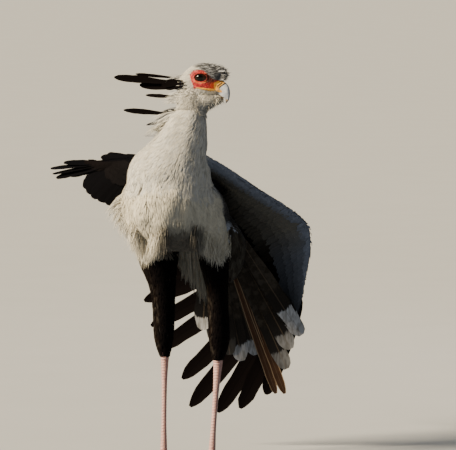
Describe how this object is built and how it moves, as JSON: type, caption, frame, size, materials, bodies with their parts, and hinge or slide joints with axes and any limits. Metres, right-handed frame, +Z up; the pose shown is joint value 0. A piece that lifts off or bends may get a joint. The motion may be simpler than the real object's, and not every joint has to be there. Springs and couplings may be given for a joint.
{
  "type": "secretary bird",
  "caption": "Long-legged bird of prey standing with one wing hung half open, the other held back, a fanned tail and a loose crest.",
  "frame": {"origin": "on the floor, under the middle of the bird's bounding box", "axes": "+Z up; -Y the way the chest faces in the picture; +X the bird's own left"},
  "size_m": [0.8058, 0.8266, 1.2],
  "materials": {
    "skin": "bare red and orange skin",
    "plumage_white": "soft cream-white feathers",
    "plumage_black": "black feathers",
    "plumage_tail": "grey-brown feathers with black bands and white tips",
    "bill_horn": "pale blue-grey horn",
    "eye_dark": "dark wet eye",
    "leg_scale": "pale pink scaled skin",
    "claw_horn": "dark worn horn"
  },
  "bodies": {
    "root": {"bill_lower": "bill_horn", "bill_upper": "bill_horn", "claw_left_1": "claw_horn", "claw_left_2": "claw_horn", "claw_left_3": "claw_horn", "claw_left_4": "claw_horn", "claw_right_1": "claw_horn", "claw_right_2": "claw_horn", "claw_right_3": "claw_horn", "claw_right_4": "claw_horn", "eye_left": "eye_dark", "eye_right": "eye_dark", "foot_left": "leg_scale", "foot_right": "leg_scale", "head": "skin", "neck_lower": "plumage_white", "neck_upper": "plumage_white", "tail": "plumage_tail", "tarsus_left": "leg_scale", "tarsus_right": "leg_scale", "thigh_left": "plumage_black", "thigh_right": "plumage_black", "torso": "plumage_white", "wing_left_arm": "plumage_black", "wing_left_hand": "plumage_black", "wing_right_arm": "plumage_black", "wing_right_hand": "plumage_black"}
  },
  "joints": []
}
